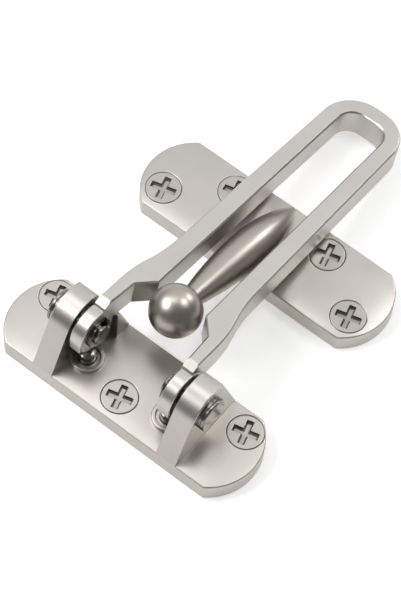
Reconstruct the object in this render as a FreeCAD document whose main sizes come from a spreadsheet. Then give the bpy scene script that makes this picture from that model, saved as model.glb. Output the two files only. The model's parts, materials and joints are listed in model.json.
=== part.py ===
"""Swing bar door guard: a hinge base, a U-shaped swing bar and a keeper plate with its ball post.

Frame, in millimetres: X runs along the hinge axis, +Y from the hinge base to the keeper,
+Z away from the mounting surface, which is z = 0. The origin is the centre of the hinge
base's mounting face. The bar lies over the ball post, down on its stops.
"""
import FreeCAD, Part
import math
import os
import Sketcher

# Driving sizes: name, millimetres or degrees, meaning
SIZES = [
    ("plate_length", 65.0, "overall length of either plate, along X"),
    ("plate_width", 20.8, "width of either plate, along Y"),
    ("plate_thick", 4.5, "thickness of either plate"),
    ("end_bulge", 5.4, "height of the arc at a plate's end"),
    ("corner_round", 0.8, "radius of a plate's upright corner edges"),
    ("edge_round", 0.3, "radius of a plate's upper rim"),
    ("keeper_offset", 46.8, "distance between the two plates' centre lines"),
    ("axis_height", 14.4, "height of the hinge axis above the mounting face"),
    ("ear_spacing", 28.6, "distance between the ears' inner faces"),
    ("ear_thick", 5.2, "thickness of an ear"),
    ("crown_radius", 7.0, "radius of the rounded top of an ear"),
    ("crown_back", 1.2, "distance of the crown's centre behind the hinge axis"),
    ("crown_drop", 1.4, "distance of the crown's centre below the hinge axis"),
    ("ear_back", 5.0, "distance of an ear's rear top edge behind the hinge axis"),
    ("ear_round", 0.25, "radius of an ear's outer edges"),
    ("stop_width", 4.6, "width of a stop rib beside its ear"),
    ("stop_front", 6.2, "distance of a stop rib's front behind the hinge axis"),
    ("stop_gap", 0.3, "gap between a stop rib and the leg above it"),
    ("pin_diameter", 4.8, "shank of a hinge pin"),
    ("pin_head_diameter", 7.9, "head of a hinge pin"),
    ("pin_head_thick", 0.85, "thickness of that head"),
    ("pin_end", 0.75, "length of a hinge pin beyond its clip"),
    ("pin_chamfer", 0.25, "chamfer on a hinge pin's head and end"),
    ("pin_groove_diameter", 3.7, "bottom of the groove for the clip"),
    ("clip_diameter", 7.2, "outer diameter of a retaining clip"),
    ("clip_thick", 0.85, "thickness of a retaining clip"),
    ("clip_opening", 3.5, "opening of a retaining clip"),
    ("clip_turn", 18.0, "turn of that opening from upright, towards the bar"),
    ("clip_gap", 0.05, "clearance of a retaining clip in its groove"),
    ("head_washer_thick", 0.75, "thickness of the washer under a pin's head"),
    ("head_washer_diameter", 7.8, "outer diameter of that washer"),
    ("pin_gap", 0.1, "radial clearance of the knuckle on its pin"),
    ("pin_seat_gap", 0.02, "radial clearance of a pin in its ear and washer"),
    ("side_gap", 0.05, "end clearance on each side of a knuckle"),
    ("washer_thick", 0.75, "thickness of a pivot washer"),
    ("washer_diameter", 9.2, "outer diameter of a pivot washer"),
    ("knuckle_diameter", 11.0, "barrel of a knuckle"),
    ("knuckle_width", 3.15, "width of a knuckle along the hinge axis"),
    ("knuckle_bevel", 0.2, "bevel round a barrel's ends"),
    ("toe_drop", 2.4, "depth of a barrel's square toe below the hinge axis"),
    ("toe_length", 1.5, "length of that toe, along Y"),
    ("leg_inset", 0.3, "step from a knuckle's outer face to the leg's outer face"),
    ("bar_tilt", 9.1, "slope of the resting bar, down towards the loop"),
    ("bar_reach", 89.2, "distance from the hinge axis to the loop's end"),
    ("bar_depth", 6.9, "thickness of the bar across its broad face"),
    ("bar_raise", 0.2, "height of the bar's underside above the hinge axis"),
    ("bar_bevel", 0.35, "bevel along the bar's edges"),
    ("loop_width", 19.4, "outer width at the loop"),
    ("loop_corner", 8.7, "outer corner radius of the loop"),
    ("loop_wall", 4.3, "wall at the loop's end"),
    ("slot_end_width", 11.4, "slot at the loop"),
    ("slot_corner", 4.0, "corner radius of the slot at the loop"),
    ("slot_mouth_width", 12.6, "slot where it opens into the keyhole"),
    ("mouth_reach", 14.8, "distance from the hinge axis to the slot's mouth"),
    ("keyhole_width", 19.7, "width of the keyhole beside its step"),
    ("keyhole_reach", 10.8, "distance from the hinge axis to the foot of that step"),
    ("waist_width", 21.5, "outer width where the legs start to spread"),
    ("waist_reach", 27.5, "distance from the hinge axis to that place"),
    ("shoulder_reach", 9.5, "distance from the hinge axis to the end of the spread"),
    ("heel_reach", 3.55, "distance from the hinge axis to the top of the heel slope"),
    ("heel_foot", 1.3, "distance from the hinge axis to the foot of the heel slope"),
    ("heel_drop", 1.1, "height of the heel slope"),
    ("heel_groove", 0.7, "depth of the groove between heel and barrel"),
    ("ball_diameter", 11.9, "ball of the post"),
    ("ball_forward", 33.2, "distance of the ball in front of the keeper's centre line"),
    ("ball_height", 16.6, "height of the ball's centre"),
    ("post_neck_diameter", 4.6, "post where it leaves the ball"),
    ("post_belly_diameter", 8.8, "post at its widest"),
    ("post_belly_reach", 27.1, "distance of that place from the ball's centre"),
    ("post_tail_diameter", 1.9, "post at its tail"),
    ("post_tail_margin", 0.9, "distance of the tail from the keeper's rear edge"),
    ("post_tail_rise", 0.1, "height of the tail's centre above the plate"),
    ("hinge_screw_end", 6.6, "hinge base: end screws from the plate's ends"),
    ("hinge_screw_y", 5.7, "hinge base: end screws behind the middle"),
    ("hinge_screw_front", 4.8, "hinge base: middle screw in front of the middle"),
    ("keeper_screw_end", 6.7, "keeper: front screws from the plate's ends"),
    ("keeper_front_y", 4.4, "keeper: front screws in front of the middle"),
    ("keeper_rear_x", 12.8, "keeper: rear screws from the middle"),
    ("keeper_rear_y", 5.3, "keeper: rear screws behind the middle"),
    ("screw_head", 8.0, "diameter of a screw's head"),
    ("screw_shank", 4.2, "diameter of a screw's plain shank, inside the plate"),
    ("screw_thread", 3.4, "mean diameter of a screw's threaded length, beyond the plate"),
    ("screw_length", 16.0, "length of a screw"),
    ("screw_point", 4.0, "length of a screw's point"),
    ("screw_tip", 0.6, "diameter of a screw's blunt tip"),
    ("screw_land", 0.15, "upright land round a screw's head"),
    ("screw_rim_gap", 0.25, "ring left open round a screw's head"),
    ("screw_hole_gap", 0.2, "radial clearance round a screw's shank"),
    ("screw_seat_gap", 0.05, "gap between a head and its countersink"),
    ("recess_length", 5.9, "cross recess from tip to tip"),
    ("recess_width", 1.6, "width of the cross recess"),
    ("recess_depth", 1.0, "depth of the cross recess"),
    ("recess_taper", 20.0, "lean of the cross recess's walls"),
    ("recess_turn", 15.0, "turn of the cross recess from X"),
    ("collar_x", 11.2, "plunger collars from the middle"),
    ("collar_front", 2.0, "plunger collars in front of the middle"),
    ("collar_diameter", 7.6, "outer diameter of a collar"),
    ("collar_height", 1.0, "height of a collar above the plate"),
    ("dish_diameter", 5.8, "dish in a collar's top"),
    ("dish_depth", 0.6, "depth of that dish"),
    ("collar_round", 0.25, "radius of a collar's rim"),
    ("plunger_diameter", 3.8, "stem of a plunger"),
    ("plunger_top", 8.1, "height of a plunger's tip above the mounting face"),
    ("plunger_dome", 0.5, "height of a plunger's rounded tip"),
    ("flange_diameter", 5.0, "flange at a plunger's foot"),
    ("flange_thick", 1.0, "thickness of that flange"),
    ("plunger_gap", 0.1, "clearance of a plunger in its bore, all round"),
    ("plunger_roof", 1.2, "metal between a collar's dish and the plunger's bore"),
    ("plug_diameter", 6.2, "plug that closes a plunger's bore"),
    ("plug_thick", 0.8, "thickness of that plug"),
    ("plug_gap", 0.02, "radial clearance of that plug"),
    ("disc_outer", 4.8, "outer diameter of a disc spring"),
    ("disc_inner", 2.4, "hole in a disc spring"),
    ("disc_thick", 0.28, "thickness of a disc spring"),
    ("disc_gap", 0.02, "gap between neighbours in a stack of disc springs"),
]
DISCS_IN_STACK = 3

# Places that several pieces share, as expressions on the sheet
HALF_WIDTH = "Sizes.plate_width / 2"
CORNER_X = "(Sizes.plate_length / 2 - Sizes.end_bulge)"
END_RADIUS = "((Sizes.plate_width ^ 2 / 4 + Sizes.end_bulge ^ 2) / (2 * Sizes.end_bulge))"
EAR_INNER = "(Sizes.ear_spacing / 2)"
EAR_OUTER = "(Sizes.ear_spacing / 2 + Sizes.ear_thick)"
WASHER_INNER = f"({EAR_INNER} - Sizes.washer_thick)"
KNUCKLE_OUTER = f"({WASHER_INNER} - Sizes.side_gap)"
KNUCKLE_INNER = f"({KNUCKLE_OUTER} - Sizes.knuckle_width)"
GROOVE_NEAR = f"({KNUCKLE_INNER} - Sizes.side_gap)"
GROOVE_FAR = f"({GROOVE_NEAR} - Sizes.clip_thick - Sizes.clip_gap)"
HEAD_SEAT = f"({EAR_OUTER} + Sizes.head_washer_thick)"
LEG_OUTER = f"({KNUCKLE_OUTER} - Sizes.leg_inset)"
BAR_TOP = "(Sizes.bar_raise + Sizes.bar_depth)"
CROWN_Z = "(Sizes.axis_height - Sizes.crown_drop)"
EAR_BACK_Z = (f"({CROWN_Z} + sqrt(Sizes.crown_radius ^ 2"
              " - (Sizes.ear_back - Sizes.crown_back) ^ 2))")
BACK_SLOPE = f"(({HALF_WIDTH} - Sizes.ear_back) / ({EAR_BACK_Z} - Sizes.plate_thick))"
TILT = "(Sizes.bar_tilt * 1 deg)"
STOP_Z = f"(Sizes.axis_height + (Sizes.bar_raise - Sizes.stop_gap) / cos({TILT}))"
COLLAR_TOP = "(Sizes.plate_thick + Sizes.collar_height)"
BORE_ROOF = f"({COLLAR_TOP} - Sizes.dish_depth - Sizes.plunger_roof)"
FLANGE_TOP = f"({BORE_ROOF} - Sizes.plunger_gap)"
FLANGE_FOOT = f"({FLANGE_TOP} - Sizes.flange_thick)"
HEAD_TOP = "(Sizes.plate_thick - Sizes.screw_rim_gap + Sizes.screw_land + Sizes.screw_seat_gap)"
HINGE_SCREW_X = "(Sizes.plate_length / 2 - Sizes.hinge_screw_end)"
KEEPER_FRONT_X = "(Sizes.plate_length / 2 - Sizes.keeper_screw_end)"
TAIL_Y = f"(Sizes.keeper_offset + {HALF_WIDTH} - Sizes.post_tail_margin)"
TAIL_Z = "(Sizes.plate_thick + Sizes.post_tail_rise)"
BALL_Y = "(Sizes.keeper_offset - Sizes.ball_forward)"

doc = FreeCAD.newDocument("swing_bar_door_guard")
sheet = doc.addObject("Spreadsheet::Sheet", "Sizes")
for row, (alias, size, meaning) in enumerate(SIZES, start=1):
    sheet.set(f"A{row}", alias)
    sheet.set(f"B{row}", str(size))
    sheet.set(f"C{row}", meaning)
    sheet.setAlias(f"B{row}", alias)
doc.recompute()


def number(expression):
    """Value of an expression on the sheet."""
    result = sheet.evalExpression(expression)
    return float(getattr(result, "Value", result))


def new_body(label):
    """A sub-part; its label names its file."""
    body = doc.addObject("PartDesign::Body", label)
    body.Label = label
    return body


def origin_feature(body, role):
    """One of the body's own origin planes or axes."""
    return next(item for item in body.Origin.OriginFeatures if item.Role == role)


def attach(feature, body, role, x="0", y="0", z="0"):
    """Lays a feature on an origin plane, moved by x and y in that plane and by z along its normal."""
    feature.AttachmentSupport = [(origin_feature(body, role), "")]
    feature.MapMode = "FlatFace"
    for axis, expression in (("x", x), ("y", y), ("z", z)):
        if expression != "0":
            feature.setExpression(f"AttachmentOffset.Base.{axis}", expression)


def turn(feature, angle, expression):
    """Turns an attached feature about its plane's normal."""
    feature.AttachmentOffset.Rotation = FreeCAD.Rotation(FreeCAD.Vector(0, 0, 1), angle)
    feature.setExpression("AttachmentOffset.Rotation.Angle", expression)


def new_sketch(body, role, name, lift="0"):
    """An empty sketch on an origin plane, lifted along the plane's normal."""
    sketch = body.newObject("Sketcher::SketchObject", name)
    attach(sketch, body, role, z=lift)
    return sketch


def hold(sketch, constraint, expression):
    """Adds a constraint whose value follows the sheet."""
    index = sketch.addConstraint(constraint)
    sketch.renameConstraint(index, f"size_{index}")
    sketch.setExpression(f"Constraints.size_{index}", expression)


def place(sketch, side, end, x, y):
    """Fixes one end of a side at two expressions from the sketch's origin."""
    for expression, kind, axis in ((x, "DistanceX", -2), (y, "DistanceY", -1)):
        if expression == "0":
            sketch.addConstraint(Sketcher.Constraint("PointOnObject", side, end, axis))
        else:
            value = number(expression)
            hold(sketch, Sketcher.Constraint(kind, -1, 1, side, end, value), expression)


def arc_through(start, finish, radius):
    """Arc from start to finish; it turns left for a positive radius and right for a negative one."""
    chord = finish - start
    half = chord.Length / 2
    across = FreeCAD.Vector(-chord.y, chord.x, 0) / chord.Length
    depth = math.sqrt(max(radius * radius - half * half, 0.0))
    centre = start + chord / 2 + across * math.copysign(depth, radius)
    first, last = (start, finish) if radius > 0 else (finish, start)
    angles = [math.atan2(p.y - centre.y, p.x - centre.x) for p in (first, last)]
    circle = Part.Circle(centre, FreeCAD.Vector(0, 0, 1), abs(radius))
    return Part.ArcOfCircle(circle, *angles)


def outline(sketch, corners, arcs=None):
    """Closed outline through the corners, each a pair of expressions.

    arcs gives the radius of each round side by the number of its first corner, with a minus
    sign in front where the side turns right.
    """
    arcs = arcs or {}
    points = [FreeCAD.Vector(number(x), number(y), 0) for x, y in corners]
    ends = []
    for index, start in enumerate(points):
        finish = points[(index + 1) % len(points)]
        if index in arcs:
            turns_right = arcs[index].startswith("-")
            radius = arcs[index].lstrip("-")
            signed = -number(radius) if turns_right else number(radius)
            side = sketch.addGeometry(arc_through(start, finish, signed), False)
            hold(sketch, Sketcher.Constraint("Radius", side, abs(signed)), radius)
            ends.append((side, 2, 1) if turns_right else (side, 1, 2))
        else:
            side = sketch.addGeometry(Part.LineSegment(start, finish), False)
            ends.append((side, 1, 2))
    for index, (side, begin, finish) in enumerate(ends):
        follower, follower_begin, _ = ends[(index + 1) % len(ends)]
        sketch.addConstraint(Sketcher.Constraint("Coincident", side, finish, follower, follower_begin))
        place(sketch, side, begin, *corners[index])


def mirrored_corners(right_side):
    """Corners of an outline that is alike on both sides of the sketch's upright axis."""
    return right_side + [(f"-({x})", y) for x, y in reversed(right_side)]


def pad(body, sketch, name, length, reverse=False):
    """Pads a sketch along its normal."""
    feature = body.newObject("PartDesign::Pad", name)
    feature.Profile = sketch
    feature.setExpression("Length", length)
    feature.Reversed = reverse
    return feature


def pocket(body, sketch, name, length, reverse=False):
    """Cuts a sketch along its normal, backwards unless reversed."""
    feature = body.newObject("PartDesign::Pocket", name)
    feature.Profile = sketch
    feature.setExpression("Length", length)
    feature.Reversed = reverse
    return feature


def revolve(body, sketch, name, axis="H_Axis"):
    """Turns a sketch once about one of its own axes."""
    feature = body.newObject("PartDesign::Revolution", name)
    feature.Profile = sketch
    feature.ReferenceAxis = (sketch, [axis])
    feature.Angle = 360
    return feature


def mirror(body, name, features):
    """Repeats features on the other side of the YZ plane."""
    feature = body.newObject("PartDesign::Mirrored", name)
    feature.Originals = features
    feature.MirrorPlane = (origin_feature(body, "YZ_Plane"), [""])
    body.Tip = feature
    return feature


def bore(body, name, role, centre, diameter, start, depth):
    """Round hole along an origin plane's normal, from start through depth."""
    feature = body.newObject("PartDesign::SubtractiveCylinder", name)
    attach(feature, body, role, centre[0], centre[1], start)
    feature.setExpression("Radius", f"({diameter}) / 2")
    feature.setExpression("Height", depth)
    return feature


def dress(body, kind, name, base, test, size_property, expression):
    """Fillets or chamfers the edges of a feature that pass a test."""
    doc.recompute()
    names = [f"Edge{index}" for index, edge in enumerate(base.Shape.Edges, start=1) if test(edge)]
    feature = body.newObject(f"PartDesign::{kind}", name)
    feature.Base = (base, names)
    feature.setExpression(size_property, expression)
    return feature


def at_height(edge, height):
    """True for an edge that lies wholly at one height."""
    box = edge.BoundBox
    return abs(box.ZMin - height) < 1e-4 and abs(box.ZMax - height) < 1e-4


def is_upright(edge):
    """True for a straight edge along Z."""
    box = edge.BoundBox
    return box.XLength < 1e-4 and box.YLength < 1e-4


def plate(body, middle="0"):
    """Plate with straight sides and arc ends, rounded at its corners and its upper rim."""
    sketch = new_sketch(body, "XY_Plane", f"{body.Label}_outline")
    front = f"{middle} - {HALF_WIDTH}"
    back = f"{middle} + {HALF_WIDTH}"
    corners = [(f"-{CORNER_X}", front), (CORNER_X, front), (CORNER_X, back), (f"-{CORNER_X}", back)]
    outline(sketch, corners, {1: END_RADIUS, 3: END_RADIUS})
    slab = pad(body, sketch, f"{body.Label}_slab", "Sizes.plate_thick")
    corner = dress(body, "Fillet", f"{body.Label}_corners", slab, is_upright, "Radius", "Sizes.corner_round")
    thick = number("Sizes.plate_thick")
    dress(body, "Fillet", f"{body.Label}_rim", corner, lambda edge: at_height(edge, thick), "Radius",
          "Sizes.edge_round")


def screw_holes(body, places):
    """Countersunk clearance holes for flat-head screws."""
    hole = "(Sizes.screw_shank + 2 * Sizes.screw_hole_gap)"
    rim = "(Sizes.screw_head + 2 * Sizes.screw_rim_gap)"
    for index, centre in enumerate(places, start=1):
        bore(body, f"{body.Label}_hole_{index}", "XY_Plane", centre, hole, "0", "Sizes.plate_thick")
        sink = body.newObject("PartDesign::SubtractiveCone", f"{body.Label}_countersink_{index}")
        depth = f"({rim} - {hole}) / 2"
        attach(sink, body, "XY_Plane", centre[0], centre[1], f"Sizes.plate_thick - {depth}")
        sink.setExpression("Radius1", f"{hole} / 2")
        sink.setExpression("Radius2", f"{rim} / 2")
        sink.setExpression("Height", depth)


HINGE_SCREWS = [
    (f"-{HINGE_SCREW_X}", "Sizes.hinge_screw_y"),
    ("0", "-Sizes.hinge_screw_front"),
    (HINGE_SCREW_X, "Sizes.hinge_screw_y"),
]
KEEPER_SCREWS = [
    (f"-{KEEPER_FRONT_X}", "Sizes.keeper_offset - Sizes.keeper_front_y"),
    (KEEPER_FRONT_X, "Sizes.keeper_offset - Sizes.keeper_front_y"),
    ("-Sizes.keeper_rear_x", "Sizes.keeper_offset + Sizes.keeper_rear_y"),
    ("Sizes.keeper_rear_x", "Sizes.keeper_offset + Sizes.keeper_rear_y"),
]


def ear_outline(sketch):
    """Ear seen along X: a straight front, a crown tangent to it and a steep straight back."""
    front = f"-({HALF_WIDTH})"
    foot = "Sizes.plate_thick - Sizes.edge_round"
    reach = f"sqrt(({HALF_WIDTH} + Sizes.crown_back) ^ 2 + ({CROWN_Z} - Sizes.plate_thick) ^ 2)"
    rise = (f"(atan(({CROWN_Z} - Sizes.plate_thick) / ({HALF_WIDTH} + Sizes.crown_back))"
            f" + asin(Sizes.crown_radius / {reach}))")
    tangent = f"sqrt({reach} ^ 2 - Sizes.crown_radius ^ 2)"
    corners = [
        (front, foot),
        (HALF_WIDTH, foot),
        (HALF_WIDTH, "Sizes.plate_thick"),
        ("Sizes.ear_back", EAR_BACK_Z),
        (f"{front} + {tangent} * cos({rise})", f"Sizes.plate_thick + {tangent} * sin({rise})"),
        (front, "Sizes.plate_thick"),
    ]
    outline(sketch, corners, {3: "Sizes.crown_radius"})


def stop_outline(sketch):
    """Stop rib seen along X: upright front, top parallel to the leg above it, back in line with the ear's."""
    fall = f"tan({TILT})"
    top = (f"(({STOP_Z} - ({HALF_WIDTH} + Sizes.plate_thick * {BACK_SLOPE}) * {fall})"
           f" / (1 - {BACK_SLOPE} * {fall}))")
    corners = [
        ("Sizes.stop_front", "Sizes.plate_thick / 2"),
        (HALF_WIDTH, "Sizes.plate_thick / 2"),
        (HALF_WIDTH, "Sizes.plate_thick"),
        (f"{HALF_WIDTH} - ({top} - Sizes.plate_thick) * {BACK_SLOPE}", top),
        ("Sizes.stop_front", f"{STOP_Z} - Sizes.stop_front * {fall}"),
    ]
    outline(sketch, corners)


def collar_outline(sketch):
    """Half section of a plunger collar with a rounded rim."""
    edge = "Sizes.collar_diameter / 2"
    corners = [
        ("0", "0"),
        (edge, "0"),
        (edge, f"{COLLAR_TOP} - Sizes.collar_round"),
        (f"{edge} - Sizes.collar_round", COLLAR_TOP),
        ("0", COLLAR_TOP),
    ]
    outline(sketch, corners, {2: "Sizes.collar_round"})


def is_ear_edge(edge):
    """True for an edge of an ear's outer face, above the plate."""
    box = edge.BoundBox
    at_face = box.XLength < 1e-4 and abs(abs(box.XMin) - number(EAR_OUTER)) < 1e-4
    return at_face and box.ZMax > number("Sizes.plate_thick") + number("Sizes.ear_round")


def make_hinge_base():
    """Casting with two ears, their stop ribs, two plunger collars and three screw holes."""
    body = new_body("hinge_base")
    plate(body)
    ear_sketch = new_sketch(body, "YZ_Plane", "ear_profile", EAR_INNER)
    ear_outline(ear_sketch)
    ear = pad(body, ear_sketch, "ear", "Sizes.ear_thick")
    stop_sketch = new_sketch(body, "YZ_Plane", "stop_profile", EAR_INNER)
    stop_outline(stop_sketch)
    stop = pad(body, stop_sketch, "stop_rib", "Sizes.stop_width", reverse=True)
    collar_sketch = new_sketch(body, "XZ_Plane", "collar_profile", "Sizes.collar_front")
    collar_sketch.setExpression("AttachmentOffset.Base.x", "Sizes.collar_x")
    collar_outline(collar_sketch)
    collar = revolve(body, collar_sketch, "collar", "V_Axis")
    castings = mirror(body, "ears_and_collars", [ear, stop, collar])
    dress(body, "Fillet", "ear_edges", castings, is_ear_edge, "Radius", "Sizes.ear_round")
    collar_centre = ("Sizes.collar_x", "-Sizes.collar_front")
    bores = [
        ("pin_hole", "YZ_Plane", ("0", "Sizes.axis_height"),
         "Sizes.pin_diameter + 2 * Sizes.pin_seat_gap", EAR_INNER, "Sizes.ear_thick"),
        ("plug_seat", "XY_Plane", collar_centre,
         "Sizes.plug_diameter + 2 * Sizes.plug_gap", "0", "Sizes.plug_thick"),
        ("plunger_bore", "XY_Plane", collar_centre,
         "Sizes.flange_diameter + 2 * Sizes.plunger_gap", "Sizes.plug_thick",
         f"{BORE_ROOF} - Sizes.plug_thick"),
        ("stem_hole", "XY_Plane", collar_centre,
         "Sizes.plunger_diameter + 2 * Sizes.plunger_gap", BORE_ROOF, "Sizes.plunger_roof"),
        ("collar_dish", "XY_Plane", collar_centre,
         "Sizes.dish_diameter", f"{COLLAR_TOP} - Sizes.dish_depth", "Sizes.dish_depth"),
    ]
    for name, role, centre, diameter, start, depth in bores:
        cut = bore(body, name, role, centre, diameter, start, depth)
        mirror(body, f"{name}_on_both_sides", [cut])
    screw_holes(body, HINGE_SCREWS)
    return body


def swell_radius(run, rise):
    """Radius of an arc that levels off after a run and a rise."""
    return f"(({run} ^ 2 + {rise} ^ 2) / (2 * {rise}))"


def make_keeper_plate():
    """Plate with four screw holes and a leaf-shaped post that ends in a ball, cast as one piece."""
    body = new_body("keeper_plate")
    plate(body, "Sizes.keeper_offset")
    sketch = new_sketch(body, "YZ_Plane", "post_profile")
    length = f"sqrt(({TAIL_Y} - {BALL_Y}) ^ 2 + (Sizes.ball_height - {TAIL_Z}) ^ 2)"
    sketch.setExpression("AttachmentOffset.Base.x", BALL_Y)
    sketch.setExpression("AttachmentOffset.Base.y", "Sizes.ball_height")
    sketch.AttachmentOffset.Rotation.Axis = FreeCAD.Vector(0, 0, 1)
    sketch.setExpression("AttachmentOffset.Rotation.Angle",
                         f"-atan((Sizes.ball_height - {TAIL_Z}) / ({TAIL_Y} - {BALL_Y}))")
    neck = "Sizes.post_neck_diameter / 2"
    belly = "Sizes.post_belly_diameter / 2"
    tail = "Sizes.post_tail_diameter / 2"
    neck_reach = "sqrt(Sizes.ball_diameter ^ 2 - Sizes.post_neck_diameter ^ 2) / 2"
    corners = [
        ("-Sizes.ball_diameter / 2", "0"),
        (length, "0"),
        (length, tail),
        ("Sizes.post_belly_reach", belly),
        (neck_reach, neck),
    ]
    rear = swell_radius(f"({length} - Sizes.post_belly_reach)", f"({belly} - {tail})")
    front = swell_radius(f"(Sizes.post_belly_reach - {neck_reach})", f"({belly} - {neck})")
    outline(sketch, corners, {2: rear, 3: front, 4: "Sizes.ball_diameter / 2"})
    revolve(body, sketch, "ball_post")
    screw_holes(body, KEEPER_SCREWS)
    return body


def bar_outline(sketch):
    """Bar seen on its broad face, with the hinge axis along the sketch's X axis."""
    half_loop = "Sizes.loop_width / 2"
    half_slot = "Sizes.slot_end_width / 2"
    slot_end = "(Sizes.bar_reach - Sizes.loop_wall)"
    spread = f"({LEG_OUTER} - Sizes.waist_width / 2)"
    run = "(Sizes.waist_reach - Sizes.shoulder_reach)"
    bend = f"(({run} ^ 2 + {spread} ^ 2) / (4 * {spread}))"
    outer = [
        (LEG_OUTER, "Sizes.heel_foot"),
        (LEG_OUTER, "Sizes.shoulder_reach"),
        (f"{LEG_OUTER} - {spread} / 2", f"Sizes.shoulder_reach + {run} / 2"),
        ("Sizes.waist_width / 2", "Sizes.waist_reach"),
        (half_loop, "Sizes.bar_reach - Sizes.loop_corner"),
        (f"{half_loop} - Sizes.loop_corner", "Sizes.bar_reach"),
    ]
    inner = [
        (f"{half_slot} - Sizes.slot_corner", slot_end),
        (half_slot, f"{slot_end} - Sizes.slot_corner"),
        ("Sizes.slot_mouth_width / 2", "Sizes.mouth_reach"),
        ("Sizes.keyhole_width / 2", "Sizes.keyhole_reach"),
        (KNUCKLE_INNER, "Sizes.clip_diameter / 2 + Sizes.side_gap"),
        (KNUCKLE_INNER, "Sizes.heel_foot"),
    ]
    corners = mirrored_corners(outer) + [(f"-({x})", y) for x, y in reversed(inner)] + inner
    arcs = {
        1: bend, 2: f"-{bend}", 4: "Sizes.loop_corner",
        6: "Sizes.loop_corner", 8: f"-{bend}", 9: bend,
        16: "-Sizes.slot_corner", 18: "-Sizes.slot_corner",
    }
    outline(sketch, corners, arcs)


def heel_outline(sketch):
    """What is cut off a leg's upper end, seen along X: the heel slope and the groove before the barrel."""
    slope_foot = f"{BAR_TOP} - Sizes.heel_drop"
    corners = [
        ("Sizes.heel_foot", f"{slope_foot} - Sizes.heel_groove"),
        ("Sizes.heel_foot + Sizes.heel_groove / 2", slope_foot),
        ("Sizes.heel_reach", BAR_TOP),
        ("Sizes.heel_reach", f"{BAR_TOP} + Sizes.heel_drop"),
        ("Sizes.heel_foot - Sizes.heel_groove", f"{BAR_TOP} + Sizes.heel_drop"),
        ("Sizes.heel_foot - Sizes.heel_groove", slope_foot),
    ]
    outline(sketch, corners)


def barrel_outline(sketch):
    """Half section of a knuckle's barrel, bevelled at both ends."""
    edge = "Sizes.knuckle_diameter / 2"
    corners = [
        (KNUCKLE_INNER, "0"),
        (KNUCKLE_OUTER, "0"),
        (KNUCKLE_OUTER, f"{edge} - Sizes.knuckle_bevel"),
        (f"{KNUCKLE_OUTER} - Sizes.knuckle_bevel", edge),
        (f"{KNUCKLE_INNER} + Sizes.knuckle_bevel", edge),
        (KNUCKLE_INNER, f"{edge} - Sizes.knuckle_bevel"),
    ]
    outline(sketch, corners)


def barrel_toe(body):
    """Square toe that stands upright at the barrel's lower front while the bar is down."""
    reach = "(Sizes.knuckle_diameter / 2)"
    toe = body.newObject("PartDesign::AdditiveBox", "barrel_toe")
    corner_y = f"Sizes.toe_drop * sin({TILT}) - {reach} * cos({TILT})"
    corner_z = f"-Sizes.toe_drop * cos({TILT}) - {reach} * sin({TILT})"
    attach(toe, body, "YZ_Plane", corner_y, corner_z, f"{KNUCKLE_INNER} + Sizes.knuckle_bevel")
    turn(toe, number("Sizes.bar_tilt"), TILT)
    toe.setExpression("Length", "Sizes.toe_length")
    toe.setExpression("Width", "Sizes.toe_drop")
    toe.setExpression("Height", "Sizes.knuckle_width - 2 * Sizes.knuckle_bevel")
    return toe


def make_swing_bar():
    """U-shaped bar with a keyhole slot and two knuckles, modelled flat and then laid down at its slope."""
    body = new_body("swing_bar")
    sketch = new_sketch(body, "XY_Plane", "bar_plan", "Sizes.bar_raise")
    bar_outline(sketch)
    bar = pad(body, sketch, "bar", "Sizes.bar_depth")
    low = number("Sizes.bar_raise")
    high = number(BAR_TOP)
    dress(body, "Chamfer", "bar_bevels", bar, lambda edge: at_height(edge, low) or at_height(edge, high),
          "Size", "Sizes.bar_bevel")
    heel_sketch = new_sketch(body, "YZ_Plane", "heel_profile", KNUCKLE_INNER)
    heel_outline(heel_sketch)
    heel = pocket(body, heel_sketch, "heel_slope", "Sizes.knuckle_width", reverse=True)
    mirror(body, "both_heels", [heel])
    barrel_sketch = new_sketch(body, "XZ_Plane", "barrel_profile")
    barrel_outline(barrel_sketch)
    barrel = revolve(body, barrel_sketch, "barrel")
    mirror(body, "both_barrels", [barrel])
    mirror(body, "both_barrel_toes", [barrel_toe(body)])
    hole = bore(body, "pin_bore", "YZ_Plane", ("0", "0"), "Sizes.pin_diameter + 2 * Sizes.pin_gap",
                KNUCKLE_INNER, "Sizes.knuckle_width")
    mirror(body, "both_pin_bores", [hole])
    body.Placement.Rotation = FreeCAD.Rotation(FreeCAD.Vector(-1, 0, 0), number("Sizes.bar_tilt"))
    body.setExpression("Placement.Base.z", "Sizes.axis_height")
    body.setExpression("Placement.Rotation.Angle", TILT)
    return body


def turned(label, profile, role="XZ_Plane", axis="V_Axis"):
    """Sub-part turned from a half profile about one of the sketch's axes."""
    body = new_body(label)
    sketch = new_sketch(body, role, f"{label}_profile")
    outline(sketch, profile)
    revolve(body, sketch, f"{label}_turned", axis)
    return body


def make_pin(label, sign):
    """Hinge pin: a chamfered head outside its ear, a shank and a groove for the clip at its inner end."""
    shank = "Sizes.pin_diameter / 2"
    head = "Sizes.pin_head_diameter / 2"
    groove = "Sizes.pin_groove_diameter / 2"
    face = f"({HEAD_SEAT} + Sizes.pin_head_thick)"
    end = f"({GROOVE_FAR} - Sizes.pin_end)"
    profile = [
        (end, "0"),
        (face, "0"),
        (face, f"{head} - Sizes.pin_chamfer"),
        (f"{face} - Sizes.pin_chamfer", head),
        (f"{HEAD_SEAT} + Sizes.pin_chamfer / 2", head),
        (HEAD_SEAT, f"{head} - Sizes.pin_chamfer"),
        (HEAD_SEAT, shank),
        (GROOVE_NEAR, shank),
        (GROOVE_NEAR, groove),
        (GROOVE_FAR, groove),
        (GROOVE_FAR, shank),
        (f"{end} + Sizes.pin_chamfer", shank),
        (end, f"{shank} - Sizes.pin_chamfer"),
    ]
    return on_hinge_axis(label, sign, profile)


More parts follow.
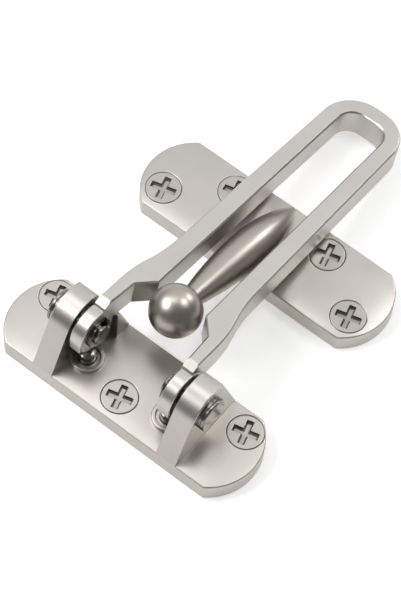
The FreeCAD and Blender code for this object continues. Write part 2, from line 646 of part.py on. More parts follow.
def on_hinge_axis(label, sign, profile):
    """Sub-part turned about the hinge axis, on the side that the sign gives."""
    body = turned(label, [(f"{sign}({x})", y) for x, y in profile], "XZ_Plane", "H_Axis")
    body.setExpression("Placement.Base.z", "Sizes.axis_height")
    return body


def ring_profile(near, far, inner, outer):
    """Half section of a flat ring."""
    return [(near, inner), (far, inner), (far, outer), (near, outer)]


def make_washer(label, sign, near, far, diameter):
    """Washer round a hinge pin."""
    inner = "Sizes.pin_diameter / 2 + Sizes.pin_seat_gap"
    return on_hinge_axis(label, sign, ring_profile(near, far, inner, f"{diameter} / 2"))


def make_clip(label, sign):
    """Retaining clip: an open ring in a hinge pin's groove."""
    near = f"{GROOVE_NEAR} - Sizes.clip_gap / 2"
    inner = "Sizes.pin_groove_diameter / 2 + Sizes.clip_gap"
    profile = ring_profile(near, f"{near} - Sizes.clip_thick", inner, "Sizes.clip_diameter / 2")
    body = on_hinge_axis(label, sign, profile)
    lean = "(Sizes.clip_turn * 1 deg)"
    middle = f"({GROOVE_NEAR} + {GROOVE_FAR}) / 2"
    cut = body.newObject("PartDesign::SubtractiveBox", f"{label}_opening")
    corner_y = f"-Sizes.clip_opening / 2 * cos({lean})"
    corner_z = f"Sizes.clip_opening / 2 * sin({lean})"
    attach(cut, body, "YZ_Plane", corner_y, corner_z, f"{sign}({middle}) - Sizes.clip_thick / 2")
    turn(cut, -number("Sizes.clip_turn"), f"-{lean}")
    cut.setExpression("Length", "Sizes.clip_opening")
    cut.setExpression("Width", "Sizes.clip_diameter")
    cut.setExpression("Height", "Sizes.clip_thick")
    return body


def group_of(label, pieces):
    """Like pieces as one sub-part of separate solids."""
    group = doc.addObject("Part::Compound", label)
    group.Label = label
    group.Links = pieces
    return group


def at_collar(item, sign):
    """Moves a sub-part, modelled about the Z axis, to a collar's centre."""
    item.setExpression("Placement.Base.x", f"{sign}Sizes.collar_x")
    item.setExpression("Placement.Base.y", "-Sizes.collar_front")


def make_plunger(label, sign):
    """Spring plunger: a stem with a rounded tip and a flange that keeps it in its bore."""
    stem = "Sizes.plunger_diameter / 2"
    flange = "Sizes.flange_diameter / 2"
    shoulder = "Sizes.plunger_top - Sizes.plunger_dome"
    dome = f"(({stem}) ^ 2 + Sizes.plunger_dome ^ 2) / (2 * Sizes.plunger_dome)"
    body = new_body(label)
    sketch = new_sketch(body, "XZ_Plane", f"{label}_profile")
    profile = [
        ("0", FLANGE_FOOT),
        (flange, FLANGE_FOOT),
        (flange, FLANGE_TOP),
        (stem, FLANGE_TOP),
        (stem, shoulder),
        ("0", "Sizes.plunger_top"),
    ]
    outline(sketch, profile, {4: dome})
    revolve(body, sketch, f"{label}_turned", "V_Axis")
    at_collar(body, sign)
    return body


def make_plug(label, sign):
    """Disc that closes a plunger's bore from below."""
    edge = "Sizes.plug_diameter / 2"
    body = turned(label, [("0", "0"), (edge, "0"), (edge, "Sizes.plug_thick"), ("0", "Sizes.plug_thick")])
    at_collar(body, sign)
    return body


def make_disc_springs(label, sign):
    """Stack of dished discs between a plug and its plunger's flange, each turned against the next."""
    pitch = f"(({FLANGE_FOOT} - Sizes.plug_thick) / {DISCS_IN_STACK})"
    dish = f"({pitch} - Sizes.disc_thick - Sizes.disc_gap)"
    outer = "Sizes.disc_outer / 2"
    inner = "Sizes.disc_inner / 2"
    discs = []
    for index in range(DISCS_IN_STACK):
        low = f"Sizes.plug_thick + {index} * {pitch} + Sizes.disc_gap / 2"
        outer_low, inner_low = (low, f"{low} + {dish}") if index % 2 == 0 else (f"{low} + {dish}", low)
        profile = [
            (inner, inner_low),
            (outer, outer_low),
            (outer, f"{outer_low} + Sizes.disc_thick"),
            (inner, f"{inner_low} + Sizes.disc_thick"),
        ]
        disc = turned(f"{label}_{index + 1}", profile)
        at_collar(disc, sign)
        discs.append(disc)
    return group_of(label, discs)


def make_screw(label, centre):
    """Countersunk wood screw with a cross recess, its head just below the plate's face."""
    head = "Sizes.screw_head / 2"
    shank = "Sizes.screw_shank / 2"
    thread = "Sizes.screw_thread / 2"
    tip = "Sizes.screw_tip / 2"
    neck = f"-(Sizes.screw_land + {head} - {shank})"
    profile = [
        ("0", "-Sizes.screw_length"),
        (tip, "-Sizes.screw_length"),
        (thread, "-(Sizes.screw_length - Sizes.screw_point)"),
        (thread, f"-{HEAD_TOP}"),
        (shank, f"-{HEAD_TOP}"),
        (shank, neck),
        (head, "-Sizes.screw_land"),
        (head, "0"),
        ("0", "0"),
    ]
    body = turned(label, profile)
    arm = "Sizes.recess_length / 2"
    side = "Sizes.recess_width / 2"
    right_half = [(side, f"-({arm})"), (side, f"-({side})"), (arm, f"-({side})"),
                  (arm, side), (side, side), (side, arm)]
    sketch = new_sketch(body, "XY_Plane", f"{label}_recess_outline")
    outline(sketch, mirrored_corners(right_half))
    recess = pocket(body, sketch, f"{label}_recess", "Sizes.recess_depth")
    recess.setExpression("TaperAngle", "-Sizes.recess_taper * 1 deg")
    body.setExpression("Placement.Base.x", centre[0])
    body.setExpression("Placement.Base.y", centre[1])
    body.setExpression("Placement.Base.z", HEAD_TOP)
    body.Placement.Rotation = FreeCAD.Rotation(FreeCAD.Vector(0, 0, 1), number("Sizes.recess_turn"))
    body.setExpression("Placement.Rotation.Angle", "Sizes.recess_turn * 1 deg")
    return body


def make_screws(label, places):
    """One plate's screws."""
    screws = [make_screw(f"{label}_{index}", centre) for index, centre in enumerate(places, start=1)]
    return group_of(label, screws)


sub_parts = [make_hinge_base(), make_keeper_plate(), make_swing_bar()]
for side_name, side_sign in (("left", "-"), ("right", "")):
    sub_parts.append(make_pin(f"{side_name}_hinge_pin", side_sign))
    sub_parts.append(make_washer(f"{side_name}_pivot_washer", side_sign, WASHER_INNER, EAR_INNER,
                                 "Sizes.washer_diameter"))
    sub_parts.append(make_washer(f"{side_name}_head_washer", side_sign, EAR_OUTER, HEAD_SEAT,
                                 "Sizes.head_washer_diameter"))
    sub_parts.append(make_clip(f"{side_name}_retaining_clip", side_sign))
    sub_parts.append(make_plunger(f"{side_name}_plunger", side_sign))
    sub_parts.append(make_disc_springs(f"{side_name}_disc_springs", side_sign))
    sub_parts.append(make_plug(f"{side_name}_plunger_plug", side_sign))
sub_parts.append(make_screws("hinge_base_screws", HINGE_SCREWS))
sub_parts.append(make_screws("keeper_screws", KEEPER_SCREWS))
doc.recompute()

failed = [item.Label for item in doc.Objects if {"Invalid", "Error"} & set(item.State)]
failed += [part.Label for part in sub_parts if part.Shape.isNull() or not part.Shape.isValid()]
if failed:
    raise RuntimeError("These objects did not build: " + ", ".join(failed))

os.makedirs("parts", exist_ok=True)
for part in sub_parts:
    part.Shape.exportStep(os.path.join("parts", f"{part.Label}.step"))
    print(part.Label, "solids", len(part.Shape.Solids), "volume", round(part.Shape.Volume, 2))
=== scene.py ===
"""Satin nickel swing bar door guard: finishes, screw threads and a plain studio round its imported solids."""

import json
import math
from collections import namedtuple

import bmesh
import bpy
from bpy.props import FloatProperty, FloatVectorProperty, IntProperty, PointerProperty
from mathutils import Matrix, Vector


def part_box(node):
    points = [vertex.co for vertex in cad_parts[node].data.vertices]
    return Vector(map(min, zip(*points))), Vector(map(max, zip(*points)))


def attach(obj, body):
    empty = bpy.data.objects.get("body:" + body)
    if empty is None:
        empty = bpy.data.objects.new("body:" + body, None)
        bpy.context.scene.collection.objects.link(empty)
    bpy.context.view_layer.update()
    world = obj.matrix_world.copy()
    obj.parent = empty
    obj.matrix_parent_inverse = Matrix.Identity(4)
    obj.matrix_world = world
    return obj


bl_info = {
    "name": "Door Guard Finishes",
    "version": (1, 0, 0),
    "blender": (4, 5, 0),
    "location": "View3D > Sidebar > Door Guard",
    "description": "Finishes, screw threads and a studio for a swing bar door guard",
    "category": "Object",
}

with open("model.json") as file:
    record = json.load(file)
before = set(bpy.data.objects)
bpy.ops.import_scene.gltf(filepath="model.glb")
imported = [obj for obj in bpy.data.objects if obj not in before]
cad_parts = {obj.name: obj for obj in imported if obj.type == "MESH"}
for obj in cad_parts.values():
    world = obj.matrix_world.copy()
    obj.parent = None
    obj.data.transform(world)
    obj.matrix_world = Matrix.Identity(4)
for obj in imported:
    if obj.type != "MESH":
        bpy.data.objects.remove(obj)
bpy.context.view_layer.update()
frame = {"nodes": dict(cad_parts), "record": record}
RECORD = frame["record"]
NODES = frame["nodes"]
SIDES = ("left", "right")
MM = 0.001

# Places of the axes in a vector
X_AXIS = 0
Y_AXIS = 1

# Shank radius and straight length of the screws, from the record's mount for the hinge's middle screw
MIDDLE_SCREW = next(mount["dims"] for mount in RECORD["mounts"] if mount["name"] == "hinge_middle_screw")
SHANK_RADIUS = MIDDLE_SCREW["r_mm"] * MM
STRAIGHT_THREAD = MIDDLE_SCREW["length_mm"] * MM

# Turns that a thread ends above the screw's tip, and its least share of the full width there
FREE_TURNS = 0.5
TIP_SHARE = 0.15

# Noise values that are spread over the whole range of what the noise drives
NOISE_LOW = 0.3
NOISE_HIGH = 0.7

# Detail of the fine noises and of the clouding
FINE_DETAIL = 2.0
CLOUD_DETAIL = 3.0

# Colour of the duller patches of each metal, as a share of its own colour
PATCH_SHADES = {
    "bar": 0.93,
    # Painted shade: the darker tone of the ball and post
    "post": 0.93,
    "steel": 0.85,
    "clip": 0.8,
    # Painted shade: the near-black washers in the hinge's gaps
    "washer": 0.6,
    "spring": 0.7,
    "screw": 0.9,
    "recess": 0.6,
    # Painted shade: the dark line round the screws
    "rim": 0.7,
}

# Roughness above and below the mean, and the relief of grain and brushing
ROUGHNESS_SPREAD = 0.03
BRUSH_SHARE = 0.6
RELIEF_STRENGTH = 0.02
RELIEF_DEPTH = 0.05 * MM

# Rays that look for an edge to soften
BEVEL_SAMPLES = 6

# Half the height over which one zone of a finish passes into the next
ZONE_BLEND = 0.05 * MM

# How a plate's face falls towards its sides and its ends: powers of the squared distance from the middle
SIDE_POWER = 2.0
END_POWER = 3.0
END_SHARE = SIDE_POWER / END_POWER

WHITE = (1.0, 1.0, 1.0)

# Segments of the tent, and the cosine of the angle from its brightest place at which it is dim
TENT_SEGMENTS = 48
TENT_RINGS = 24
TENT_DIM_COSINE = 0.6

# Softboxes by direction in degrees, size in metres and radiance, all at one distance from their target
Softbox = namedtuple("Softbox", "name azimuth elevation width height radiance")
SOFTBOXES = (
    Softbox("left_softbox", 301.0, 50.0, 0.40, 0.24, 7.5),
    Softbox("rear_softbox", 168.0, 27.0, 0.15, 0.15, 8.5),
    Softbox("right_softbox", 147.0, 60.0, 0.20, 0.20, 6.0),
    Softbox("overhead_softbox", 250.0, 74.0, 0.20, 0.20, 3.0),
)
SOFTBOX_DISTANCE = 0.6

# Longer side of the photograph in pixels, a full-frame sensor in millimetres and the camera's reach
IMAGE_LONG_SIDE = 601
SENSOR = 36.0
CLIP_START = 0.01
CLIP_END = 20.0


def length(name, default, description):
    """A size in metres that a user may change."""
    return FloatProperty(name=name, description=description, default=default, min=0.0, unit="LENGTH")


def angle(name, degrees, description):
    """An angle that a user may change."""
    return FloatProperty(name=name, description=description, default=math.radians(degrees),
                         subtype="ANGLE")


def share(name, default, description):
    """A number from 0 to 1 that a user may change."""
    return FloatProperty(name=name, description=description, default=default, min=0.0, max=1.0,
                         subtype="FACTOR")


def brightness(name, default, description):
    """A strength of light that a user may change."""
    return FloatProperty(name=name, description=description, default=default, min=0.0)


def colour(name, default, description):
    """A colour that a user may change."""
    return FloatVectorProperty(name=name, description=description, default=default, min=0.0, max=1.0,
                               size=3, subtype="COLOR")


class GuardFinish(bpy.types.PropertyGroup):
    """Colours, grain and zones of the guard's metals."""

    nickel: colour("Nickel", (0.51, 0.485, 0.447), "Satin nickel plate on the castings")
    nickel_cloud: colour("Nickel Clouding", (0.46, 0.435, 0.396), "Slightly duller patches of the plate")
    bar: colour("Bar Nickel", (0.545, 0.523, 0.486), "Slightly paler plate on the swing bar")
    # Painted shade: the ball and post carry the keeper's own nickel plate; this darker, warmer tone stands in
    # for their darker reflections
    post: colour("Ball Post", (0.42, 0.388, 0.343), "Slightly darker plate on the ball and its post")
    steel: colour("Pin Steel", (0.25, 0.234, 0.211), "Plated pins, their washers and the plungers")
    clip: colour("Clip Steel", (0.13, 0.12, 0.107), "Blued spring clips on the pins")
    # Painted shade: the pivot washers are real parts, and their near-black colour stands in for the shade in
    # the gap between each ear and knuckle
    washer: colour("Washer Steel", (0.055, 0.050, 0.044), "Oiled washers at the hinge")
    spring: colour("Spring Steel", (0.30, 0.29, 0.28), "Disc springs under the plungers")
    screw: colour("Screw Plate", (0.47, 0.446, 0.406), "Satin plate on the screws")
    recess: colour("Screw Recess", (0.50, 0.474, 0.437), "Mottled plate on the floors of the recesses")
    # Painted shade: a dark line round the screws' faces and the tops of their recesses, where the gap round
    # each head falls into shade
    rim: colour("Screw Rim", (0.14, 0.129, 0.113), "Dark line round the screws' faces and their recesses")
    casting_roughness: share("Casting Roughness", 0.36, "Mean roughness of the castings")
    steel_roughness: share("Steel Roughness", 0.22, "Mean roughness of the hinge's small parts")
    screw_roughness: share("Screw Roughness", 0.32, "Mean roughness of the screws")
    cloud_size: length("Cloud Size", 0.014, "Width of a duller patch of plate")
    grain_size: length("Grain Size", 0.00018, "Width of a speck of the satin blasting")
    brush_width: length("Brush Width", 0.00012, "Width of a brushing line")
    brush_length: length("Brush Length", 0.006, "Length of a brushing line")
    edge_radius: length("Edge Radius", 0.00025, "Softening of sharp edges")
    post_foot: length("Post Foot", 0.00455, "Height where the post rises from the keeper's face")
    plate_side: length("Plate Side", 0.0041, "Height where the plates' upper rims begin")
    base_crown: length("Base Crown", 0.00025, "Fall of the hinge base's face towards its rim")
    keeper_crown: length("Keeper Crown", 0.00045, "Fall of the keeper's face towards its rim")
    head_face: length("Head Face", 0.00436, "Height just below the screws' faces")
    recess_floor: length("Recess Floor", 0.0028, "Height just below the cross recesses")
    # Depth of the band of painted shade below the screws' faces
    rim_shade_depth: length("Rim Depth", 0.0003, "Depth of the dark line below the screws' faces")


class GuardThread(bpy.types.PropertyGroup):
    """Sizes of the screws' threads."""

    pitch: length("Pitch", 0.0016, "Advance of the thread in one turn")
    crest: length("Crest Diameter", 0.0042, "Outer diameter of the thread")
    root: length("Root Width", 0.0009, "Width of the thread at its root")
    sink: length("Root Sink", 0.00006, "Depth of the thread's root inside the shank")
    steps: IntProperty(name="Steps", description="Segments in one turn", default=24, min=8)


class GuardStage(bpy.types.PropertyGroup):
    """Floor, light and camera."""

    target: FloatVectorProperty(name="Target", description="Point on the floor that the camera looks at",
                                default=(-0.0028377, 0.0270523, 0.0), size=3, subtype="TRANSLATION",
                                unit="LENGTH")
    azimuth: angle("Azimuth", 33.0958, "Camera's turn about the upright axis")
    elevation: angle("Elevation", 59.7666, "Camera's height above the floor")
    roll: angle("Roll", 5.9547, "Camera's turn about its line of sight")
    distance: length("Distance", 0.575089, "Camera's distance from its target")
    focal: FloatProperty(name="Focal Length", description="Focal length in pixels of the picture",
                         default=2616.41, min=1.0)
    floor_size: length("Floor Size", 4.0, "Width of the floor")
    floor_colour: colour("Floor", (0.72, 0.72, 0.72), "Pale floor")
    floor_glow: brightness("Floor Glow", 0.5, "Light added to the floor beside the object")
    floor_far_glow: brightness("Floor Far Glow", 0.9, "Light added to the floor far off")
    floor_near: length("Floor Near", 0.1, "Distance from the origin where the glow starts to grow")
    floor_far: length("Floor Far", 0.8, "Distance from the origin where the glow is full")
    ambient: brightness("Ambient", 0.25, "World light on matt surfaces")
    tent_colour: colour("Tent Colour", (0.965, 0.98, 1.0), "Slightly cool daylight of the tent")
    tent_radius: length("Tent Radius", 1.2, "Radius of the tent that the metal reflects")
    tent_azimuth: angle("Tent Azimuth", 213.0, "Turn of the tent's brightest place about the upright axis")
    tent_elevation: angle("Tent Elevation", 38.0, "Height of the tent's brightest place")
    tent_bright: brightness("Tent Bright", 1.14, "Light of the tent's brightest place")
    tent_dim: brightness("Tent Dim", 0.2, "Light of the tent's far side")


class Finish:
    """The nodes of a material or a world, cleared and built up again."""

    def __init__(self, owner, output_kind):
        owner.use_nodes = True
        self.owner = owner
        self.nodes = owner.node_tree.nodes
        self.links = owner.node_tree.links
        self.nodes.clear()
        self.output = self.add(output_kind)

    def add(self, kind, **settings):
        """A node with its properties set."""
        node = self.nodes.new(kind)
        for name, value in settings.items():
            setattr(node, name, value)
        return node

    def join(self, source, target):
        """Joins an output socket to an input socket."""
        self.links.new(source, target)

    def noise(self, vector, size, detail=FINE_DETAIL):
        """Noise of a feature size in metres, as a value from 0 to 1."""
        node = self.add("ShaderNodeTexNoise")
        node.inputs["Scale"].default_value = 1.0 / size
        node.inputs["Detail"].default_value = detail
        self.join(vector, node.inputs["Vector"])
        return node.outputs["Fac"]

    def remap(self, value, low, high, start=NOISE_LOW, end=NOISE_HIGH):
        """Spreads a value between start and end over low to high."""
        node = self.add("ShaderNodeMapRange")
        node.inputs["From Min"].default_value = start
        node.inputs["From Max"].default_value = end
        node.inputs["To Min"].default_value = low
        node.inputs["To Max"].default_value = high
        self.join(value, node.inputs["Value"])
        return node.outputs["Result"]

    def math(self, operation, first, second):
        """Arithmetic on two values, each a socket or a plain number."""
        node = self.add("ShaderNodeMath", operation=operation)
        for socket, value in ((node.inputs[0], first), (node.inputs[1], second)):
            if isinstance(value, bpy.types.NodeSocket):
                self.join(value, socket)
            else:
                socket.default_value = value
        return node.outputs["Value"]

    def mix(self, factor, first, second):
        """Mixes two colours, each a socket or a plain colour."""
        node = self.add("ShaderNodeMix", data_type="RGBA")
        self.join(factor, node.inputs["Factor"])
        for socket, value in ((node.inputs["A"], first), (node.inputs["B"], second)):
            if isinstance(value, bpy.types.NodeSocket):
                self.join(value, socket)
            else:
                socket.default_value = (*value, 1.0)
        return node.outputs["Result"]


def new_finish(name):
    """The empty nodes of a new material."""
    return Finish(bpy.data.materials.new(name), "ShaderNodeOutputMaterial")


def object_coordinates(finish):
    """Coordinates that stay with the mesh, in metres."""
    return finish.add("ShaderNodeTexCoord").outputs["Object"]


def stretched(finish, vector, scale):
    """Coordinates stretched along the axes."""
    node = finish.add("ShaderNodeMapping")
    node.inputs["Scale"].default_value = scale
    finish.join(vector, node.inputs["Vector"])
    return node.outputs["Vector"]


def metal(name, tint, roughness, settings, brush_axis=None, crown=None):
    """Plated metal: clouded colour, satin grain, brushing lines and softened edges.

    tint takes the finish and its coordinates and returns the colour's socket. crown takes the normal
    of the softened edges as well and returns the normal of a polished face.
    """
    finish = new_finish(name)
    place = object_coordinates(finish)
    shader = finish.add("ShaderNodeBsdfPrincipled")
    shader.inputs["Metallic"].default_value = 1.0
    finish.join(tint(finish, place), shader.inputs["Base Color"])
    grain = finish.noise(place, settings.grain_size)
    spread = finish.remap(grain, roughness - ROUGHNESS_SPREAD, roughness + ROUGHNESS_SPREAD)
    finish.join(spread, shader.inputs["Roughness"])
    height = grain
    if brush_axis is not None:
        scale = [1.0, 1.0, 1.0]
        scale[brush_axis] = settings.brush_width / settings.brush_length
        lines = finish.noise(stretched(finish, place, scale), settings.brush_width)
        blend = finish.add("ShaderNodeMix", data_type="FLOAT")
        blend.inputs["Factor"].default_value = BRUSH_SHARE
        finish.join(grain, blend.inputs["A"])
        finish.join(lines, blend.inputs["B"])
        height = blend.outputs["Result"]
    bump = finish.add("ShaderNodeBump")
    bump.inputs["Strength"].default_value = RELIEF_STRENGTH
    bump.inputs["Distance"].default_value = RELIEF_DEPTH
    finish.join(height, bump.inputs["Height"])
    bevel = finish.add("ShaderNodeBevel", samples=BEVEL_SAMPLES)
    bevel.inputs["Radius"].default_value = settings.edge_radius
    normal = bevel.outputs["Normal"]
    if crown is not None:
        normal = crown(finish, place, normal)
    finish.join(normal, bump.inputs["Normal"])
    finish.join(bump.outputs["Normal"], shader.inputs["Normal"])
    finish.join(shader.outputs["BSDF"], finish.output.inputs["Surface"])
    return finish.owner


def clouded(first, second, settings):
    """Tint that drifts softly between two colours."""
    def tint(finish, place):
        cloud = finish.remap(finish.noise(place, settings.cloud_size, CLOUD_DETAIL), 0.0, 1.0)
        return finish.mix(cloud, first, second)
    return tint


def mottled(settings, name):
    """Tint that drifts between a named colour and its duller patches."""
    tone = getattr(settings, name)
    patch = tuple(channel * PATCH_SHADES[name] for channel in tone)
    return clouded(tone, patch, settings)


def separate(finish, place):
    """The coordinates' X, Y and Z."""
    node = finish.add("ShaderNodeSeparateXYZ")
    finish.join(place, node.inputs["Vector"])
    return node.outputs["X"], node.outputs["Y"], node.outputs["Z"]


def zone(finish, place, low, high):
    """1 between two heights and 0 elsewhere."""
    _, _, height = separate(finish, place)
    above = finish.remap(height, 0.0, 1.0, low - ZONE_BLEND, low + ZONE_BLEND)
    below = finish.remap(height, 1.0, 0.0, high - ZONE_BLEND, high + ZONE_BLEND)
    return finish.math("MULTIPLY", above, below)


def zoned(inside, outside, low, high):
    """Tint that differs between two heights from the rest."""
    def tint(finish, place):
        return finish.mix(zone(finish, place, low, high), outside(finish, place), inside(finish, place))
    return tint


def crowned(low, high, drop, settings):
    """Normal of a plate's face that falls by a drop towards its rim.

    low and high are the plate's corners.
    """
    half_length = (high.x - low.x) / 2
    half_width = (high.y - low.y) / 2
    end_drop = drop * half_length / half_width * END_SHARE

    def crown(finish, place, normal):
        x, y, _ = separate(finish, place)
        along = finish.remap(x, -1.0, 1.0, low.x, high.x)
        across = finish.remap(y, -1.0, 1.0, low.y, high.y)
        along_square = finish.math("MULTIPLY", along, along)
        across_square = finish.math("MULTIPLY", across, across)
        end_fall = finish.math("MULTIPLY", finish.math("POWER", along_square, END_POWER), -end_drop)
        side_fall = finish.math("MULTIPLY", finish.math("POWER", across_square, SIDE_POWER), -drop)
        face = finish.add("ShaderNodeBump")
        face.inputs["Distance"].default_value = 1.0
        finish.join(zone(finish, place, settings.plate_side, settings.post_foot), face.inputs["Strength"])
        finish.join(finish.math("ADD", end_fall, side_fall), face.inputs["Height"])
        finish.join(normal, face.inputs["Normal"])
        return face.outputs["Normal"]
    return crown


def dress(node_name, material):
    """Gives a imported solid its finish."""
    slots = NODES[node_name].data.materials
    slots.clear()
    slots.append(material)


def add_mesh(scene, name, form, material):
    """A new object with the mesh of a bmesh, which is freed."""
    mesh = bpy.data.meshes.new(name)
    form.to_mesh(mesh)
    form.free()
    mesh.materials.append(material)
    item = bpy.data.objects.new(name, mesh)
    scene.collection.objects.link(item)
    return item


class GUARD_OT_castings(bpy.types.Operator):
    """Finish the hinge base, the keeper with its ball post and the swing bar."""

    bl_idname = "guard.castings"
    bl_label = "Finish Castings"

    def execute(self, context):
        look = context.scene.guard_finish
        rough = look.casting_roughness
        plate = clouded(look.nickel, look.nickel_cloud, look)
        low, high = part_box("hinge_base")
        base_crown = crowned(low, high, look.base_crown, look)
        dress("hinge_base", metal("satin_nickel_base", plate, rough, look, X_AXIS, base_crown))
        dress("swing_bar", metal("satin_nickel_bar", mottled(look, "bar"), rough, look, Y_AXIS))
        # The post reaches in front of the keeper's plate, which is as wide as the hinge base
        keeper_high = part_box("keeper_plate")[1]
        keeper_low = Vector((-keeper_high.x, keeper_high.y - (high.y - low.y), 0.0))
        # The ball and post, above the post's foot, take the darker tone of painted shade
        keeper = zoned(mottled(look, "post"), plate, look.post_foot, keeper_high.z + ZONE_BLEND)
        keeper_crown = crowned(keeper_low, keeper_high, look.keeper_crown, look)
        dress("keeper_plate", metal("satin_nickel_keeper", keeper, rough, look, X_AXIS, keeper_crown))
        return {"FINISHED"}


class GUARD_OT_hinge_hardware(bpy.types.Operator):
    """Finish the pins, washers, clips, plungers, plugs and disc springs."""

    bl_idname = "guard.hinge_hardware"
    bl_label = "Finish Hinge Hardware"

    def execute(self, context):
        look = context.scene.guard_finish
        rough = look.steel_roughness
        bright = metal("bright_pin_steel", mottled(look, "steel"), rough, look)
        blued = metal("blued_clip_steel", mottled(look, "clip"), rough, look)
        # Near-black washers: painted shade in the gap between each ear and knuckle
        dark = metal("oiled_washer_steel", mottled(look, "washer"), rough, look)
        spring = metal("spring_steel", mottled(look, "spring"), rough, look)
        for side in SIDES:
            for piece in ("hinge_pin", "head_washer", "plunger", "plunger_plug"):
                dress(f"{side}_{piece}", bright)
            dress(f"{side}_retaining_clip", blued)
            dress(f"{side}_pivot_washer", dark)
            dress(f"{side}_disc_springs", spring)
        return {"FINISHED"}


def screw_places():
    """Axis of each screw by plate, from the record's mounts."""
    places = {"hinge_base_screws": [], "keeper_screws": []}
    for mount in RECORD["mounts"]:
        if "screw" not in mount["name"]:
            continue
        group = "hinge_base_screws" if mount["name"].startswith("hinge") else "keeper_screws"
        x, y, _ = mount["pos_m"]
        half = mount["dims"].get("spacing_x_mm", 0.0) * MM / 2
        for offset in sorted({-half, half}):
            places[group].append(Vector((x + offset, y, 0.0)))
    return places


def thread_mesh(sizes, low, point):
    """Bmesh of one thread about the Z axis, from one pitch below the plate's underside to near the tip.

    low is the tip's height and point the height where the shank starts to taper.
    """
    mesh = bmesh.new()
    inner = SHANK_RADIUS - sizes.sink
    corners = [
        mesh.verts.new((inner, 0.0, -sizes.pitch)),
        mesh.verts.new((sizes.crest / 2, 0.0, -sizes.pitch + sizes.root / 2)),
        mesh.verts.new((inner, 0.0, -sizes.pitch + sizes.root)),
    ]
    section = mesh.faces.new(corners)
    turns = (-sizes.pitch - low) / sizes.pitch - FREE_TURNS
    steps = round(turns * sizes.steps)
    step_drop = Vector((0.0, 0.0, -sizes.pitch / sizes.steps))
    bmesh.ops.spin(mesh, geom=[section, *section.edges, *corners], axis=(0, 0, 1), cent=(0, 0, 0),
                   dvec=step_drop, angle=-steps / sizes.steps * math.tau, steps=steps,
                   use_duplicate=False)
    for vert in mesh.verts:
        taper = min(1.0, max(TIP_SHARE, (vert.co.z - low) / (point - low)))
        vert.co.x *= taper
        vert.co.y *= taper
    bmesh.ops.recalc_face_normals(mesh, faces=mesh.faces)
    return mesh


class GUARD_OT_screws(bpy.types.Operator):
    """Finish the screws and wind a thread on each."""

    bl_idname = "guard.screws"
    bl_label = "Finish Screws"

    def execute(self, context):
        look = context.scene.guard_finish
        sizes = context.scene.guard_thread
        # Painted shade: a dark band just below each screw's face, where the gap round the head falls into
        # shade
        rim_shade_foot = look.head_face - look.rim_shade_depth
        floors = zoned(mottled(look, "recess"), mottled(look, "screw"), look.recess_floor, rim_shade_foot)
        faces = zoned(mottled(look, "rim"), floors, rim_shade_foot, look.head_face)
        head = metal("satin_screw_plate", faces, look.screw_roughness, look)
        for group, places in screw_places().items():
            if not places:
                raise RuntimeError(f"The record has no mount for {group}")
            dress(group, head)
            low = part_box(group)[0].z
            whole = bmesh.new()
            for place in places:
                one = thread_mesh(sizes, low, -STRAIGHT_THREAD)
                bmesh.ops.translate(one, verts=one.verts, vec=place)
                part = bpy.data.meshes.new("thread")
                one.to_mesh(part)
                one.free()
                whole.from_mesh(part)
                bpy.data.meshes.remove(part)
            piece = add_mesh(context.scene, group.replace("screws", "screw_threads"), whole, head)
            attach(piece, "base")
        return {"FINISHED"}


def background_rays(finish):
    """1 for rays that should see a white ground: camera, glossy and transmission rays."""
    path = finish.add("ShaderNodeLightPath")
    total = path.outputs["Is Camera Ray"]
    for name in ("Is Glossy Ray", "Is Transmission Ray"):
        total = finish.math("MAXIMUM", total, path.outputs[name])
    return total


def direction(azimuth, elevation):
    """Unit vector towards a place round the object; azimuth 0 is in front, at -Y."""
    flat = math.cos(elevation)
    return Vector((math.sin(azimuth) * flat, -math.cos(azimuth) * flat, math.sin(elevation)))


def make_world(scene, stage):
    """White for rays that see the ground, and a plain level for matt surfaces."""
    scene.world = bpy.data.worlds.new("studio_world")
    finish = Finish(scene.world, "ShaderNodeOutputWorld")
    background = finish.add("ShaderNodeBackground")
    background.inputs["Color"].default_value = (*WHITE, 1.0)
    strength = finish.remap(background_rays(finish), stage.ambient, 1.0, 0.0, 1.0)
    finish.join(strength, background.inputs["Strength"])
    finish.join(background.outputs["Background"], finish.output.inputs["Surface"])


def make_floor(scene, stage):
    """Pale floor at the mounting face, with a glow that turns it white and keeps the shadow."""
    finish = new_finish("pale_floor")
    matt = finish.add("ShaderNodeBsdfDiffuse")
    matt.inputs["Color"].default_value = (*stage.floor_colour, 1.0)
    glow = finish.add("ShaderNodeEmission")
    reach = finish.add("ShaderNodeVectorMath", operation="LENGTH")
    finish.join(object_coordinates(finish), reach.inputs[0])
    ground = finish.remap(reach.outputs["Value"], stage.floor_glow, stage.floor_far_glow,
                          stage.floor_near, stage.floor_far)
    finish.join(finish.math("MULTIPLY", background_rays(finish), ground), glow.inputs["Strength"])
    both = finish.add("ShaderNodeAddShader")
    finish.join(matt.outputs["BSDF"], both.inputs[0])
    finish.join(glow.outputs["Emission"], both.inputs[1])
    finish.join(both.outputs["Shader"], finish.output.inputs["Surface"])
    form = bmesh.new()
    bmesh.ops.create_grid(form, x_segments=1, y_segments=1, size=stage.floor_size / 2)
    floor = add_mesh(scene, "floor", form, finish.owner)


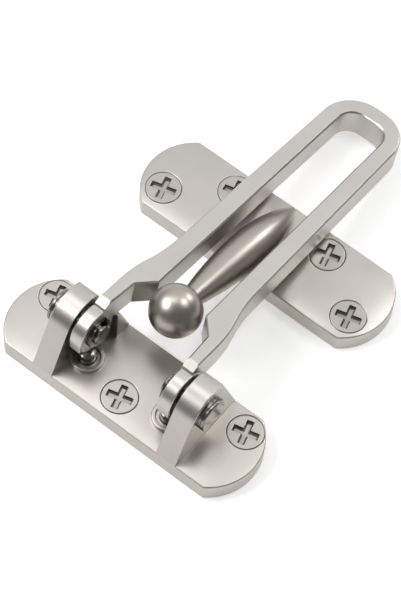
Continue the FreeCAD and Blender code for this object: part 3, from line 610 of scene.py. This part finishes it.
def make_tent(scene, stage):
    """Half dome that only reflections see: bright above and behind the object, dim elsewhere."""
    finish = new_finish("studio_tent")
    towards = finish.add("ShaderNodeVectorMath", operation="NORMALIZE")
    finish.join(object_coordinates(finish), towards.inputs[0])
    facing = finish.add("ShaderNodeVectorMath", operation="DOT_PRODUCT")
    finish.join(towards.outputs["Vector"], facing.inputs[0])
    facing.inputs[1].default_value = direction(stage.tent_azimuth, stage.tent_elevation)
    strength = finish.remap(facing.outputs["Value"], stage.tent_dim, stage.tent_bright,
                            TENT_DIM_COSINE, 1.0)
    glow = finish.add("ShaderNodeEmission")
    glow.inputs["Color"].default_value = (*stage.tent_colour, 1.0)
    finish.join(strength, glow.inputs["Strength"])
    finish.join(glow.outputs["Emission"], finish.output.inputs["Surface"])
    form = bmesh.new()
    bmesh.ops.create_uvsphere(form, u_segments=TENT_SEGMENTS, v_segments=TENT_RINGS,
                              radius=stage.tent_radius)
    bmesh.ops.bisect_plane(form, geom=[*form.verts, *form.edges, *form.faces], plane_co=(0, 0, 0),
                           plane_no=(0, 0, -1), clear_outer=True)
    tent = add_mesh(scene, "studio_tent", form, finish.owner)
    tent.visible_camera = False
    tent.visible_diffuse = False
    tent.visible_transmission = False
    tent.visible_shadow = False


def make_softboxes(scene, stage):
    """Soft rectangular lamps aimed at the camera's target."""
    aim = Vector(stage.target)
    for box in SOFTBOXES:
        lamp = bpy.data.lights.new(box.name, "AREA")
        lamp.shape = "RECTANGLE"
        lamp.size = box.width
        lamp.size_y = box.height
        lamp.energy = box.radiance * math.pi * box.width * box.height
        item = bpy.data.objects.new(box.name, lamp)
        back = direction(math.radians(box.azimuth), math.radians(box.elevation))
        item.location = aim + back * SOFTBOX_DISTANCE
        item.rotation_euler = back.to_track_quat("Z", "Y").to_euler()
        scene.collection.objects.link(item)


def make_camera(scene, stage):
    """Camera at the photograph's angle."""
    back = direction(stage.azimuth, stage.elevation)
    right = Vector((math.cos(stage.azimuth), math.sin(stage.azimuth), 0.0))
    up = back.cross(right)
    across = right * math.cos(stage.roll) + up * math.sin(stage.roll)
    above = up * math.cos(stage.roll) - right * math.sin(stage.roll)
    data = bpy.data.cameras.new("photo_camera")
    data.sensor_width = SENSOR
    data.lens = stage.focal * SENSOR / IMAGE_LONG_SIDE
    data.clip_start = CLIP_START
    data.clip_end = CLIP_END
    camera = bpy.data.objects.new("photo_camera", data)
    turn = Matrix((across, above, back)).transposed()
    place = Matrix.Translation(Vector(stage.target) + back * stage.distance)
    camera.matrix_world = place @ turn.to_4x4()
    scene.collection.objects.link(camera)
    scene.camera = camera


class GUARD_OT_stage(bpy.types.Operator):
    """Lay the floor, hang the lights and set the camera."""

    bl_idname = "guard.stage"
    bl_label = "Set Stage"

    def execute(self, context):
        scene = context.scene
        stage = scene.guard_stage
        scene.view_settings.view_transform = "Standard"
        make_world(scene, stage)
        make_floor(scene, stage)
        make_tent(scene, stage)
        make_softboxes(scene, stage)
        make_camera(scene, stage)
        return {"FINISHED"}


class GUARD_PT_panel(bpy.types.Panel):
    """Steps that dress the guard, and the values they use."""

    bl_idname = "GUARD_PT_panel"
    bl_label = "Door Guard"
    bl_space_type = "VIEW_3D"
    bl_region_type = "UI"
    bl_category = "Door Guard"

    def draw(self, context):
        for operator in OPERATORS:
            self.layout.operator(operator.bl_idname)
        for group in (context.scene.guard_finish, context.scene.guard_thread, context.scene.guard_stage):
            box = self.layout.box()
            for name in group.__annotations__:
                box.prop(group, name)


GROUPS = {"guard_finish": GuardFinish, "guard_thread": GuardThread, "guard_stage": GuardStage}
OPERATORS = (GUARD_OT_castings, GUARD_OT_hinge_hardware, GUARD_OT_screws, GUARD_OT_stage)
CLASSES = (*GROUPS.values(), *OPERATORS, GUARD_PT_panel)


def register():
    """Adds the classes to Blender and the groups of values to its scenes."""
    for cls in CLASSES:
        bpy.utils.register_class(cls)
    for name, group in GROUPS.items():
        setattr(bpy.types.Scene, name, PointerProperty(type=group))


def unregister():
    """Takes away what register added."""
    for name in GROUPS:
        delattr(bpy.types.Scene, name)
    for cls in reversed(CLASSES):
        bpy.utils.unregister_class(cls)


def main():
    """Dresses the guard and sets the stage."""
    register()
    bpy.ops.guard.castings()
    bpy.ops.guard.hinge_hardware()
    bpy.ops.guard.screws()
    bpy.ops.guard.stage()


if __name__ == "__main__":
    main()
